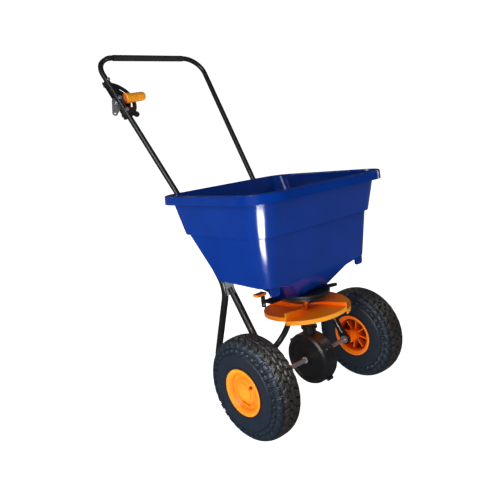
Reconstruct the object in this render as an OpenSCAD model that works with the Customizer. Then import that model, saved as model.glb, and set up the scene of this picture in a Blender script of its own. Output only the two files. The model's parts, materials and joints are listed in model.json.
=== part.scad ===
// Walk-behind broadcast spreader. Millimetres, +Z up, the front faces -Y and the
// operator stands at +Y. The origin is on the floor under the middle of the
// bounding box. The machine rests on both wheels and on a U-shaped rear stand, so
// all but the wheels leans back by rest_tilt about the axle.

/* [Wheels] */
// Outer radius of the tyre over its tread
tyre_r = 134; // [125:1:145]
// Width of the tyre
tyre_w = 84; // [78:1:90]
// Distance between the two wheel centres
track = 437; // [430:1:450]
// Radius of the bead seat under the tyre
bead_r = 50.5; // [48:0.5:53]
// Radius of the rim flange
flange_r = 61; // [58:0.5:64]
// Depth of the raised tread blocks
tread_depth = 5.5; // [4:0.5:6.5]
// Number of tread blocks round the tyre in each row
tread_count = 36; // [30:2:40]
// Number of ribs on the inner face of each rim
rim_ribs = 8; // [6:1:10]

/* [Axle] */
// Diameter of the axle
axle_d = 12; // [10:0.5:14]
// Running clearance on each side of a shaft
run_fit = 0.05; // [0.02:0.01:0.08]
// Diameter of the cross pins in the axle
cross_pin_d = 4; // [3:0.5:5]

/* [Frame] */
// Outer diameter of the lower frame tube
frame_tube_d = 19; // [18.5:0.5:22]
// Wall of the frame and handle tubes
tube_wall = 1.4; // [1.1:0.1:1.4]
// Half distance between the two frame legs
leg_x = 148; // [144:1:151]
// Height of the frame knee above the axle
knee_z = 216; // [210:1:222]
// Distance of the frame knee behind the axle
knee_y = 150; // [149:0.5:154]
// Lean of the handle from the machine's own vertical
handle_lean = 31.9; // [31.5:0.1:32.5]
// Lean of the stand legs from the machine's own vertical
stand_lean = 20.8; // [18:0.2:24]
// Length of the stand from the knee to the middle of its foot tube
stand_length = 315; // [300:1:325]
// Bend radius at the knee
knee_bend_r = 70; // [60:1:75]
// Bend radius of the foot of the stand
foot_bend_r = 110; // [80:1:120]

/* [Handle] */
// Outer diameter of the upper handle tube
handle_tube_d = 16; // [15:0.1:16]
// Distance from the knee to the crossbar along the handle
handle_length = 802; // [760:2:840]
// Half width of the handle at its crossbar
handle_half_w = 198; // [180:1:205]
// Distance from the knee to the top end of the lower tube
lower_tube_length = 285; // [280:1:290]
// Length of the upper tube inside the lower tube
socket_length = 90; // [80:1:95]
// Bend radius of the handle corners
corner_bend_r = 58; // [44:1:66]
// Wall of the soft grip sleeve on the crossbar
sleeve_wall = 1.35; // [1:0.05:2]

/* [Hopper] */
// Height of the hopper rim above the axle
rim_z = 482; // [476:1:486]
// Half width of the rim at the front
rim_front_half_w = 251; // [240:1:258]
// Half width of the rim at the back
rim_rear_half_w = 233; // [225:1:240]
// Distance of the rim's front edge ahead of the axle
rim_front_y = 131; // [124:1:138]
// Distance of the rim's rear edge behind the axle
rim_rear_y = 290; // [284:1:292]
// Depth of the skirt round the rim
skirt_h = 23; // [18:1:28]
// Width of the flange between skirt and wall
flange_w = 17; // [15:1:20]
// Wall of the hopper
hopper_wall = 4; // [3:0.2:4.4]
// Height of the hopper's underside above the axle
floor_z = 191; // [189:1:193]
// Half width of the hopper's floor
outlet_half_w = 76; // [75:1:84]

/* [Metering] */
// Diameter of each outlet port
port_d = 22; // [18:1:22]
// Distance between neighbouring ports
port_pitch = 46; // [45:1:48]
// Thickness of the gate plate
gate_t = 3; // [2.5:0.1:3.5]
// Gap above and below the gate plate
gate_gap = 0.2; // [0.1:0.05:0.3]
// Thickness of the base plate
base_t = 6; // [5:0.5:7]

/* [Impeller] */
// Radius of the impeller
impeller_r = 117; // [105:1:120]
// Height of the impeller plate's top above the axle
impeller_z = 148; // [145:1:150]
// Height of the vanes above the plate at the rim
vane_h = 15; // [12:1:17]
// Number of vanes
vane_count = 4; // [3:1:6]
// How far the plate climbs along the rim from one vane to the next
plate_climb = 10; // [4:1:12]
// How far each vane sweeps round between the rim and the hub, in degrees
vane_sweep = 40; // [20:2:50]
// Diameter of the impeller shaft
shaft_d = 10; // [8:0.5:11]

/* [Gearbox] */
// Outer radius of the gearbox disc
gearbox_r = 72; // [70:1:76]
// Width of the gearbox
gearbox_w = 54; // [52:1:58]
// Wall of the gearbox
gearbox_wall = 3.5; // [3:0.1:4]
// Teeth on the axle gear
gear_teeth = 54; // [48:2:54]
// Teeth on the impeller pinion
pinion_teeth = 12; // [10:1:12]
// Gear module at the outer end of the teeth
gear_module = 2.2; // [2:0.05:2.2]

/* [Lever] */
// Distance from the knee to the lever pivot along the handle
lever_s = 644; // [620:2:660]
// Radius of the quadrant plate
quadrant_r = 68; // [64:1:72]
// Length of the lever's grip
grip_length = 71; // [60:1:85]
// Swing of the lever from shut to fully open
lever_swing = 34; // [25:1:35]

/* [Hidden] */
$fn = 64;

orange = [1, 0.56, 0.07];
tube_black = [0.07, 0.07, 0.08];
moulded_black = [0.12, 0.12, 0.13];
zinc = [0.74, 0.75, 0.78];
hopper_blue = [0.05, 0.2, 0.6];

seat = 0.3;     // gap left between curved faces of different bodies
touch = 0.02;   // gap left between two fixed curved faces
over = 5;       // how far a cutting tool runs past a face
step_in = 0.1;  // keeps the faces of joined flats from lying in one plane

frame_tube_r = frame_tube_d / 2;
handle_tube_r = handle_tube_d / 2;
sleeve_r = handle_tube_r + sleeve_wall;
axle_r = axle_d / 2;
shaft_r = shaft_d / 2;
cross_pin_r = cross_pin_d / 2;
wheel_x = track / 2;

// the stand's foot tube touches the floor, and that sets how far the machine leans back
foot_y = knee_y + stand_length * sin(stand_lean);
foot_z = knee_z - stand_length * cos(stand_lean);
rest_tilt = atan2(foot_z, foot_y) + asin((tyre_r - frame_tube_r) / norm([foot_y, foot_z]));

// the crossbar in the machine's own frame, and how far back it reaches at rest
crossbar_y = knee_y + handle_length * sin(handle_lean);
crossbar_z = knee_z + handle_length * cos(handle_lean);
handle_back = crossbar_y * cos(rest_tilt) + crossbar_z * sin(rest_tilt) + sleeve_r;
axle_y = (tyre_r - handle_back) / 2;

// ------------------------------------------------------------ placing
// on the axle, level
module on_axle() { translate([0, axle_y, tyre_r]) children(); }
// the machine's own frame: origin on the axle, y back, z up, leaning back with the machine
module machine() { on_axle() rotate([-rest_tilt, 0, 0]) children(); }
// the plane of the handle: x across, z up the legs from the knee, y to the back
module handle_plane() {
    machine() translate([0, knee_y, knee_z]) rotate([-handle_lean, 0, 0]) children();
}
module both_sides() { children(); mirror([1, 0, 0]) children(); }
module on_side(side) { if (side > 0) children(); else mirror([1, 0, 0]) children(); }
module along_x() { rotate([0, 90, 0]) children(); }
module along_y() { rotate([-90, 0, 0]) children(); }
// solid of revolution about x; in the outline the first value is the radius, the second is x
module revolve_x() { rotate([0, 90, 0]) rotate_extrude($fn = 96) children(); }
module ring(r_out, r_in, h) {
    difference() { cylinder(r = r_out, h = h); translate([0, 0, -1]) cylinder(r = r_in, h = h + 2); }
}

// ------------------------------------------------------------ bent tubes
function unit(v) = v / norm(v);
// turns z to the direction n, then x as near as possible to w
module aim(n, w) {
    b = acos(n[2]);
    a = (abs(n[0]) + abs(n[1]) < 1e-9) ? 0 : atan2(n[1], n[0]);
    ex = [cos(b) * cos(a), cos(b) * sin(a), -sin(b)];
    ey = [-sin(a), cos(a), 0];
    rotate([0, b, a]) rotate([0, 0, atan2(w * ey, w * ex)]) children();
}
module rod(a, b, r) { translate(a) aim(unit(b - a), [1, 0, 0]) cylinder(r = r, h = norm(b - a), $fn = 32); }
// length of straight tube that the bend at corner i takes up
function tangent(p, i, r_bend) = (i <= 0 || i >= len(p) - 1) ? 0 :
    r_bend * tan(acos(unit(p[i] - p[i - 1]) * unit(p[i + 1] - p[i])) / 2);
// round bar of radius r through the points p, with the bend radii in bends. The bends are
// a hair slimmer than the straight lengths, and the straight lengths run a little into them.
bend_slim = 0.02;
bend_lap = 0.2;
module bent_bar(p, bends, r) {
    for (i = [0 : len(p) - 2]) {
        u = unit(p[i + 1] - p[i]);
        lap_a = i == 0 ? 0 : bend_lap;
        lap_b = i == len(p) - 2 ? 0 : bend_lap;
        rod(p[i] + u * (tangent(p, i, bends[i]) - lap_a),
            p[i + 1] - u * (tangent(p, i + 1, bends[i + 1]) - lap_b), r);
    }
    for (i = [1 : len(p) - 2]) {
        u = unit(p[i] - p[i - 1]);
        v = unit(p[i + 1] - p[i]);
        turn = acos(u * v);
        n = unit(cross(u, v));
        inward = cross(n, u);
        start = p[i] - u * tangent(p, i, bends[i]);
        translate(start + inward * bends[i]) aim(n, -inward)
            rotate_extrude(angle = turn, $fn = 64)
                translate([bends[i], 0]) circle(r = r - bend_slim, $fn = 32);
    }
}
// the first and last points moved outward, so that a bore runs out of the ends
function run_out(p, d) = [for (i = [0 : len(p) - 1])
    i == 0 ? p[0] + unit(p[0] - p[1]) * d :
    i == len(p) - 1 ? p[i] + unit(p[i] - p[i - 1]) * d : p[i]];

// ------------------------------------------------------------ wheels
strut_t = 6;
strut_x = leg_x;                         // middle of the strut's end plate
bush_flange_t = 2;
bush_r = axle_r + 3;
bush_flange_r = axle_r + 6;
collar_t = 5;
washer_t = 1.5;
rim_half_w = 41.5;
hub_r = 17;
hub_in = wheel_x - (leg_x + frame_tube_r + 8); // inboard end of the hub's body
hub_nose = wheel_x - (leg_x + strut_t / 2 + bush_flange_t + seat);  // and of the nose that meets the bush
hub_nose_r = 12;
hub_out = 20;
barrel_r = bead_r - 3;
cap_r = 24;
well_r = 21;        // well in the rim's middle that holds the washer and the split pin
rib_t = 3.2;
rim_hole_r = 29;    // middle of the valve hole
arch_r = 33;        // middle of the arched slot
split_pin_x = wheel_x + hub_out + seat + washer_t + touch + cross_pin_r;
axle_end = split_pin_x + 4;
pin_in_hub = 40;    // how far inboard of its centre the driven wheel is pinned
drive_pin_x = wheel_x - pin_in_hub;

module wheel_place(side) { on_axle() on_side(side) translate([wheel_x, 0, 0]) children(); }
// outboard flange, groove and crowned middle with its well; then the bore, the hub and the
// underside of the crown; then the barrel and the inboard flange
module rim_outline() {
    hw = rim_half_w;
    polygon([
        [bead_r, hw - 12], [bead_r + 1, hw - 6], [flange_r, hw - 3], [flange_r, hw - 0.8],
        [flange_r - 0.8, hw],
        [flange_r - 4, hw], [flange_r - 8, hw - 2], [barrel_r + 1, hw - 6], [barrel_r - 2.5, hw - 12],
        [barrel_r - 6, hw - 14.5], [barrel_r - 10, hw - 13.8], [barrel_r - 14, hw - 11],
        [barrel_r - 18, hw - 8],
        [cap_r + 1, hw - 6], [well_r, hw - 6], [well_r, hub_out], [axle_r, hub_out],
        [axle_r, -hub_nose], [hub_nose_r, -hub_nose], [hub_nose_r, -hub_in], [hub_r, -hub_in],
        [hub_r + 1, hub_out - 6], [well_r + 3, hub_out - 3], [well_r + 4, hw - 11],
        [barrel_r - 18, hw - 12.5],
        [barrel_r - 14, hw - 15.5], [barrel_r - 10, hw - 18.3], [barrel_r - 6, hw - 19],
        [barrel_r - 1.5, hw - 24],
        [bead_r - 2.5, -hw + 12], [bead_r - 1.5, -hw + 6], [bead_r + 1.5, -hw + 3], [flange_r - 6, -hw + 2],
        [flange_r - 4, -hw], [flange_r - 0.8, -hw], [flange_r, -hw + 0.8],
        [flange_r, -hw + 3], [bead_r + 1, -hw + 6], [bead_r, -hw + 12], [bead_r - 1.5, 0],
    ]);
}
module rim(side) {
    rib_x = 24;     // outboard end of the ribs
    color(orange) wheel_place(side) difference() {
        union() {
            revolve_x() rim_outline();
            for (k = [0 : rim_ribs - 1]) rotate([k * 360 / rim_ribs, 0, 0])
                translate([rib_x - 50, -rib_t / 2, hub_r - 1]) cube([50, rib_t, barrel_r - hub_r - 2]);
        }
        translate([-hub_nose - 1, 0, 0]) along_x()
            cylinder(r = axle_r + (side < 0 ? touch : run_fit), h = hub_nose + 2 * hub_out);
        // valve hole, and an arched slot that straddles the lowest point
        rotate([45, 0, 0]) translate([hub_out, 0, rim_hole_r]) along_x() cylinder(r = 4.5, h = 40);
        translate([hub_out, 0, -arch_r - 2]) rotate([90, 0, 90]) linear_extrude(40) intersection() {
            difference() { circle(r = 10); circle(r = 5.5); }
            translate([-12, 0]) square([24, 12]);
        }
        // hole for the cross pin of the driven wheel
        if (side < 0) translate([drive_pin_x - wheel_x, 0, -hub_r - over])
            cylinder(r = cross_pin_r, h = 2 * (hub_r + over), $fn = 32);
    }
}
// snaps into the well and covers the end of the axle
module hub_cap(side) {
    x = rim_half_w - 6 + touch;
    color(orange) wheel_place(side) revolve_x() polygon([
        [0, x + 3.5], [0, x + 6], [8, x + 5.6], [15, x + 4.2], [20, x + 2.6], [cap_r, x + 1], [cap_r, x],
        [well_r - touch, x], [well_r - touch, x - 5], [well_r - 2.5, x - 5], [well_r - 3, x], [14, x + 1.8],
        [8, x + 3.1],
    ]);
}
// The tread. A point of the tyre's crown is [depth below the tyre's radius, distance in from
// its side], with the slope of the surface there.
crown = [[22, 2.5, 20], [14, 6.5, 40], [7, 13, 58], [2.5, 21, 72]];
ring_grooves = [[18, 4.4, 30], [1.2, 26, 80]];
ring_groove_w = 3.6;
cross_groove_w = 4.2;
tread_edge = 30;    // how far down the side the cross grooves reach
ring_depth = tread_depth + 0.8;
function outward(a) = [sin(a), cos(a)];
function crown_point(c) = [tyre_r - c[0], tyre_w / 2 - c[1]];
function groove_floor(c) = crown_point(c) - tread_depth * outward(c[2]);
function ring_groove(c) = [for (q = [[-0.5, 0], [-0.35, 1], [0.35, 1], [0.5, 0]])
    crown_point(c) + q[0] * ring_groove_w * [cos(c[2]), -sin(c[2])] - q[1] * ring_depth * outward(c[2])];
function opposite(points) = [for (i = [len(points) - 1 : -1 : 0]) [points[i][0], -points[i][1]]];
module tyre_outline() {
    hw = tyre_w / 2;
    outer = concat([
        [bead_r + touch, rim_half_w - 18], [bead_r + touch, rim_half_w - 12],
        [bead_r + 1.1, rim_half_w - 6.3], [flange_r - 1.5, rim_half_w - 4],
        [flange_r + 0.6, rim_half_w - 3.4],
        [flange_r + 2.5, rim_half_w - 1.2], [flange_r + 5, rim_half_w - 0.7], [flange_r + 6, rim_half_w - 2],
        [flange_r + 13, hw - 1], [tyre_r - 48, hw], [tyre_r - tread_edge, hw - 0.4], crown_point(crown[0])],
        ring_groove(ring_grooves[0]), [for (i = [1 : 3]) crown_point(crown[i])],
        ring_groove(ring_grooves[1]), [[tyre_r, hw - 32]]);
    inner = [
        [tyre_r - tread_depth - 6, hw - 28], [tyre_r - 28, hw - 13], [tyre_r - 38, hw - 9],
        [tyre_r - 52, hw - 9], [flange_r + 5, rim_half_w - 10], [bead_r + 8, rim_half_w - 18],
    ];
    polygon(concat(outer, opposite(outer), opposite(inner), inner));
}
// outline of a cross groove over one shoulder, and over the centre row
module shoulder_groove() {
    hw = tyre_w / 2;
    polygon(concat([[tyre_r - tread_edge + 1, hw + over], [tyre_r - tread_edge + 1, hw - 1.2]],
        [for (c = crown) groove_floor(c)], [groove_floor(ring_grooves[1])],
        [crown_point(ring_grooves[1]) + over * outward(ring_grooves[1][2]), [tyre_r + over, hw + over]]));
}
module centre_groove() {
    hw = tyre_w / 2 - ring_grooves[1][1];
    translate([tyre_r - tread_depth, -hw]) square([tread_depth + over, 2 * hw]);
}
module cross_groove(turn) {
    wide = cross_groove_w / tyre_r * 180 / PI;
    rotate([0, 90, 0]) rotate([0, 0, turn - wide / 2]) rotate_extrude(angle = wide, $fn = 96) children();
}
module tyre(side) {
    step = 360 / tread_count;
    color([0.16, 0.17, 0.19]) wheel_place(side) difference() {
        revolve_x() tyre_outline();
        for (k = [0 : tread_count - 1]) {
            cross_groove((k + 0.25) * step) shoulder_groove();
            cross_groove((k + 0.25) * step) mirror([0, 1]) shoulder_groove();
            cross_groove((k + 0.75) * step) centre_groove();
        }
    }
}

// ------------------------------------------------------------ axle
module cross_pin(x, reach) {
    translate([x, 0, -reach]) cylinder(r = cross_pin_r, h = 2 * reach, $fn = 32);
}
module axle() {
    color(zinc) on_axle() difference() {
        translate([-axle_end, 0, 0]) along_x() cylinder(r = axle_r, h = 2 * axle_end);
        cross_pin(-drive_pin_x, axle_d);
        cross_pin(gear_pin_x, axle_d);
        cross_pin(split_pin_x, axle_d);
    }
}
module drive_pin() { color(zinc) on_axle() cross_pin(-drive_pin_x, hub_r - 0.5); }
module split_pin() { color(zinc) on_axle() cross_pin(split_pin_x, axle_r + 3); }
module wheel_washer() {
    color(zinc) on_axle() translate([wheel_x + hub_out + seat, 0, 0])
        along_x() ring(11, axle_r + touch, washer_t);
}
// one collar beside each strut, inboard, keeps the axle central
module axle_collars() {
    color(zinc) on_axle() both_sides()
        translate([strut_x - strut_t / 2 - seat - collar_t, 0, 0])
            along_x() ring(axle_r + 5, axle_r + touch, collar_t);
}

// ------------------------------------------------------------ bevel gears
// both pitch cones have their tip on the axle under the impeller shaft
gear_pitch_r = gear_module * gear_teeth / 2;
pinion_pitch_r = gear_module * pinion_teeth / 2;
cone_length = norm([gear_pitch_r, pinion_pitch_r]);
tooth_face = 13;
addendum = 0.75 * gear_module;
dedendum = 1.0 * gear_module;
backlash = 0.3;
flank = 20;         // slope of the tooth flanks
gear_back_x = pinion_pitch_r + 5;
gear_hub_r = 14;
gear_hub_x = -15;   // the hub runs from here to the back of the gear
gear_pin_x = gear_hub_x + 7;
pinion_hub_r = 8.5;

// half the thickness of a tooth at the height e above its pitch line, at the outer end
function half_tooth(e) = (PI * gear_module - backlash) / 4 - e * tan(flank);
// one toothed edge: n teeth at the cone distance a, on a pitch cone of half angle d
function tooth_ring(n, d, a) = [for (k = [0 : n - 1]) for (q = [[-1, -dedendum], [-1, addendum],
    [1, addendum], [1, -dedendum]])
    let (s = a / cone_length, e = q[1] * s,
         r = a * sin(d) + e * cos(d), z = a * cos(d) - e * sin(d),
         t = k * 360 / n + q[0] * half_tooth(q[1]) * s / (a * sin(d)) * 180 / PI)
    [r * cos(t), r * sin(t), z]];
function plain_ring(points, r, z) =
    [for (p = points) let (t = atan2(p[1], p[0])) [r * cos(t), r * sin(t), z]];
// a closed skin over rings that all have the same number of points. An end that isn't flat
// is closed by a strip between the first half of its points and the second, given half > 0.
function ring_end(n, half) = half == 0 ? [[for (i = [0 : n - 1]) i]] :
    [for (i = [0 : half - 2]) each [[i, i + 1, n - 2 - i], [i, n - 2 - i, n - 1 - i]]];
function reversed(f) = [for (i = [len(f) - 1 : -1 : 0]) f[i]];
module skin(rings, half = 0) {
    n = len(rings[0]);
    m = len(rings);
    polyhedron(points = [for (r = rings) each r],
        faces = concat(
            ring_end(n, half),
            [for (j = [0 : m - 2]) for (i = [0 : n - 1]) let (k = (i + 1) % n)
                each [[j * n + i, (j + 1) * n + i, (j + 1) * n + k],
                      [j * n + i, (j + 1) * n + k, j * n + k]]],
            [for (f = ring_end(n, half)) reversed([for (i = f) (m - 1) * n + i])]), convexity = 10);
}
module bevel_teeth(n, mate, back_r, back_z, front_r, front_z) {
    d = atan2(n, mate);
    outer = tooth_ring(n, d, cone_length);
    inner = tooth_ring(n, d, cone_length - tooth_face);
    skin([plain_ring(inner, front_r, front_z), inner, outer, plain_ring(outer, back_r, back_z)]);
}
module axle_gear() {
    d = atan2(gear_teeth, pinion_teeth);
    a_in = cone_length - tooth_face;
    root_in = a_in * sin(d) - dedendum * cos(d) - 1;
    front = a_in * cos(d) + dedendum * sin(d) + 1;
    color([0.5, 0.5, 0.52]) on_axle() difference() {
        union() {
            rotate([-rest_tilt, 0, 0]) along_x() rotate([0, 0, 180])
                bevel_teeth(gear_teeth, pinion_teeth, gear_pitch_r - 3, gear_back_x, root_in, front);
            translate([gear_hub_x, 0, 0])
                along_x() cylinder(r = gear_hub_r, h = gear_back_x - gear_hub_x - 1);
        }
        translate([gear_hub_x - over, 0, 0]) along_x() cylinder(r = axle_r + touch, h = 2 * gearbox_w);
        cross_pin(gear_pin_x, gear_hub_r + over);
    }
}
module gear_pin() { color(zinc) on_axle() cross_pin(gear_pin_x, gear_hub_r); }
pinion_top = cone_length * cos(atan2(pinion_teeth, gear_teeth)) + 4;
module pinion() {
    d = atan2(pinion_teeth, gear_teeth);
    a_in = cone_length - tooth_face;
    color([0.5, 0.5, 0.52]) machine() difference() {
        rotate([0, 0, 180 / pinion_teeth])
            bevel_teeth(pinion_teeth, gear_teeth, pinion_pitch_r - dedendum - 1.5, pinion_top,
                a_in * sin(d) - dedendum * a_in / cone_length - 1, a_in * cos(d) - 1);
        cylinder(r = shaft_r + touch, h = 2 * cone_length);
    }
}

// ------------------------------------------------------------ gearbox
lugs = [30, 150, 222, 318];      // directions of the screw lugs, seen from the right
lug_r = 5;
lug_place_r = gearbox_r + 3.4;
lug_half_w = 9;
screw_r = 2;
neck_r = 18;
neck_top = 118;
neck_flange_r = 22;
neck_flange_z = 84;
gearbox_bush_r = axle_r + 3;
gearbox_half_w = gearbox_w / 2;
neck_bore_r = shaft_r + 3;

module gearbox_solid() {
    revolve_x() polygon([
        [axle_r - 2, 0], [gearbox_r, 0], [gearbox_r, gearbox_half_w - 12],
        [gearbox_r - 3, gearbox_half_w - 5],
        [gearbox_r - 9, gearbox_half_w - 1], [gearbox_r - 14, gearbox_half_w],
        [gearbox_r - 18, gearbox_half_w],
        [gearbox_r - 20, gearbox_half_w - 3], [34, gearbox_half_w - 4], [24, gearbox_half_w - 5],
        [16, gearbox_half_w - 4], [14, gearbox_half_w + 3], [axle_r - 2, gearbox_half_w + 3],
    ]);
}
module gearbox_cavity() {
    w = gearbox_wall;
    revolve_x() polygon([
        [0, -1], [gearbox_r - w, -1], [gearbox_r - w, gearbox_half_w - 13],
        [gearbox_r - 3 - w, gearbox_half_w - 6 - w],
        [gearbox_r - 10 - w, gearbox_half_w - 1 - w], [gearbox_r - 16 - w, gearbox_half_w - 3 - w],
        [34, gearbox_half_w - 4 - w], [0, gearbox_half_w - 4 - w],
    ]);
}
// the half on the +x side, with everything that the gears and shafts need cut away
module gearbox_half(side) {
    color(moulded_black) machine() on_side(side) difference() {
        union() {
            gearbox_solid();
            intersection() {
                union() {
                    translate([0, 0, gearbox_r - 8]) cylinder(r = neck_r, h = neck_top - gearbox_r + 8);
                    translate([0, 0, neck_flange_z]) cylinder(r = neck_flange_r, h = 6);
                    translate([0, 0, neck_top - 5]) cylinder(r = neck_r + 2, h = 5);
                }
                translate([0, -100, 0]) cube([100, 200, 200]);
            }
            for (a = lugs) rotate([a - 90, 0, 0]) translate([0, 0, lug_place_r])
                along_x() cylinder(r = lug_r, h = lug_half_w);
        }
        gearbox_cavity();
        translate([0, 0, gearbox_r - 12]) cylinder(r = neck_bore_r, h = neck_top);
        along_x() cylinder(r = gearbox_bush_r, h = gearbox_w);
        for (a = lugs) rotate([a - 90, 0, 0]) translate([-1, 0, lug_place_r])
            along_x() cylinder(r = screw_r, h = lug_half_w + 2);
    }
}
module gearbox_screws() {
    color(zinc) machine() for (a = lugs) rotate([a - 90, 0, 0]) translate([0, 0, lug_place_r]) along_x() {
        translate([0, 0, -lug_half_w]) cylinder(r = screw_r - touch, h = 2 * lug_half_w);
        translate([0, 0, lug_half_w]) cylinder(r = lug_r - 1.7, h = 2.5);
    }
}
module gearbox_bushes() {
    inner = gearbox_half_w - 4 - gearbox_wall;
    color([0.85, 0.85, 0.82]) machine() both_sides() translate([inner, 0, 0])
        along_x() ring(gearbox_bush_r - touch, axle_r + run_fit, gearbox_half_w + 3 - inner);
}
module neck_bush() {
    color([0.85, 0.85, 0.82]) machine() translate([0, 0, neck_top - 20])
        ring(neck_bore_r - touch, shaft_r + run_fit, 20);
}

// ------------------------------------------------------------ frame
frame_path = [
    [leg_x, knee_y + lower_tube_length * sin(handle_lean), knee_z + lower_tube_length * cos(handle_lean)],
    [leg_x, knee_y, knee_z], [leg_x, foot_y, foot_z],
];
frame_points = concat(
    frame_path, [for (i = [2 : -1 : 0]) [-frame_path[i][0], frame_path[i][1], frame_path[i][2]]]);
frame_bends = [0, knee_bend_r, foot_bend_r, foot_bend_r, knee_bend_r, 0];
bolt_r = 3;
handle_bolt_s = lower_tube_length - 40;
hopper_bolt_s = [100, 160];

module rear_frame() {
    color(tube_black) difference() {
        machine() bent_bar(frame_points, frame_bends, frame_tube_r);
        machine() bent_bar(run_out(frame_points, over), frame_bends, handle_tube_r + run_fit);
        both_sides() handle_plane() {
            translate([leg_x - frame_tube_d, 0, handle_bolt_s])
                along_x() cylinder(r = bolt_r, h = 2 * frame_tube_d);
            for (s = hopper_bolt_s) translate([leg_x, -frame_tube_d, s])
                along_y() cylinder(r = bolt_r, h = 2 * frame_tube_d);
        }
    }
}

plate_r = 17;                                   // rounded end of the strut round the axle
strut_low = [strut_x, 10, 16];
strut_high = [strut_x, 131, 222];
module axle_strut(side) {
    color(tube_black) on_side_machine(side) difference() {
        union() {
            rod(strut_low, strut_high, frame_tube_r);
            translate([strut_x - strut_t / 2, 0, 0]) along_x() cylinder(r = plate_r, h = strut_t);
            translate([strut_x, 0, 0]) rotate([-atan2(strut_low[1], strut_low[2]), 0, 0])
                translate([-strut_t / 2, -plate_r + 3, 0]) cube([strut_t, 2 * plate_r - 6, 26]);
        }
        translate([strut_x - frame_tube_d, 0, 0])
            along_x() cylinder(r = bush_r + touch, h = 2 * frame_tube_d);
    }
}
module on_side_machine(side) { machine() on_side(side) children(); }
module axle_bushes() {
    color([0.85, 0.85, 0.82]) machine() both_sides() translate([strut_x - strut_t / 2, 0, 0])
        along_x() difference() {
            union() {
                cylinder(r = bush_r, h = strut_t + bush_flange_t);
                translate([0, 0, strut_t]) cylinder(r = bush_flange_r, h = bush_flange_t);
            }
            translate([0, 0, -1]) cylinder(r = axle_r + run_fit, h = strut_t + bush_flange_t + 2);
        }
}
// plated steel brackets that tie strut, leg and hopper shoulder together
bracket_t = 3;
module hopper_brackets() {
    color(zinc) machine() both_sides() difference() {
        translate([leg_x - bracket_t / 2, 0, 0]) rotate([90, 0, 90]) linear_extrude(bracket_t) polygon([
            [strut_high[1] - 18, strut_high[2] - 12], [knee_y + 8, knee_z - 22],
            [knee_y + 14, knee_z + 20], [strut_high[1] + 4, shoulder_z - 13],
            [strut_high[1] - 12, shoulder_z - 13],
        ]);
        bent_bar(frame_points, frame_bends, frame_tube_r);
        rod(strut_low, strut_high, frame_tube_r);
    }
}

// ------------------------------------------------------------ handle
taper_s = 312;      // where the handle legs start to spread
handle_half = [
    [leg_x, 0, lower_tube_length - socket_length], [leg_x, 0, taper_s],
    [handle_half_w, 0, handle_length],
];
handle_points = concat(handle_half, [for (i = [2 : -1 : 0]) [-handle_half[i][0], 0, handle_half[i][2]]]);
handle_bends = [0, 60, corner_bend_r, corner_bend_r, 60, 0];
taper = atan2(handle_half_w - leg_x, handle_length - taper_s);
lever_x = leg_x + (lever_s - taper_s) * tan(taper);
quadrant_z = 13;            // the quadrant's centre lies this far up the leg from the pivot
quadrant_bolt_z = [quadrant_z + 56, quadrant_z - 56];

// the left leg at the lever: z along the leg, x inward, y to the back
module at_lever() { handle_plane() translate([-lever_x, 0, lever_s]) rotate([0, -taper, 0]) children(); }

module handle() {
    color(tube_black) difference() {
        handle_plane() bent_bar(handle_points, handle_bends, handle_tube_r);
        handle_plane() bent_bar(run_out(handle_points, over), handle_bends, handle_tube_r - tube_wall);
        both_sides() handle_plane() translate([leg_x - frame_tube_d, 0, handle_bolt_s])
            along_x() cylinder(r = bolt_r, h = 2 * frame_tube_d);
        at_lever() for (z = concat(quadrant_bolt_z, [0])) translate([0, -handle_tube_d, z])
            along_y() cylinder(r = bolt_r, h = 2 * handle_tube_d);
    }
}
sleeve_half = handle_half_w - corner_bend_r - 10;
module crossbar_sleeve() {
    color([0.09, 0.09, 0.1]) handle_plane() translate([-sleeve_half, 0, handle_length])
        along_x() ring(sleeve_r, handle_tube_r + touch, 2 * sleeve_half);
}
// bolt along z: head below the start, nut at the far end
module bolt(length, head_h = 4) {
    cylinder(r = bolt_r - touch, h = length);
    translate([0, 0, -head_h]) cylinder(r = 5.5, h = head_h, $fn = 6);
}
module handle_bolts() {
    color(zinc) both_sides() handle_plane() translate([leg_x + frame_tube_r + 1, 0, handle_bolt_s])
        rotate([0, -90, 0]) {
            bolt(frame_tube_d + 8);
            translate([0, 0, frame_tube_d + 2]) cylinder(r = 5.5, h = 4, $fn = 6);
        }
}

// ------------------------------------------------------------ hopper
ledge_z = 375;
ledge_w = 9;
shoulder_z = 251;
lower_rear_y = knee_y + (ledge_z - knee_z) * tan(handle_lean) - frame_tube_r / cos(handle_lean) - 11;
// each station of the outer wall: height, half width in front, half width behind,
// front y, rear y, front corner radius, rear corner radius
station_rim = [rim_z, rim_front_half_w, rim_rear_half_w, -rim_front_y, rim_rear_y, 78, 62];
station_ledge = [ledge_z + 2, 221, 212, -92, lower_rear_y + ledge_w, 55, 46];
station_body = [ledge_z - 1, 221 - ledge_w, 212 - ledge_w, -92 + ledge_w, lower_rear_y, 47, 38];
station_shoulder = [
    shoulder_z, 199, 182, -66, lower_rear_y - (ledge_z - 1 - shoulder_z) * tan(handle_lean), 32, 32,
];
station_funnel = [shoulder_z - 11, 131, 122, -63, 128, 34, 26];
station_outlet = [floor_z + 6, outlet_half_w + 2, outlet_half_w + 2, -37, 72, 42, 14];
station_floor = [floor_z, outlet_half_w, outlet_half_w, -33, 70, 40, 14];

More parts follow.
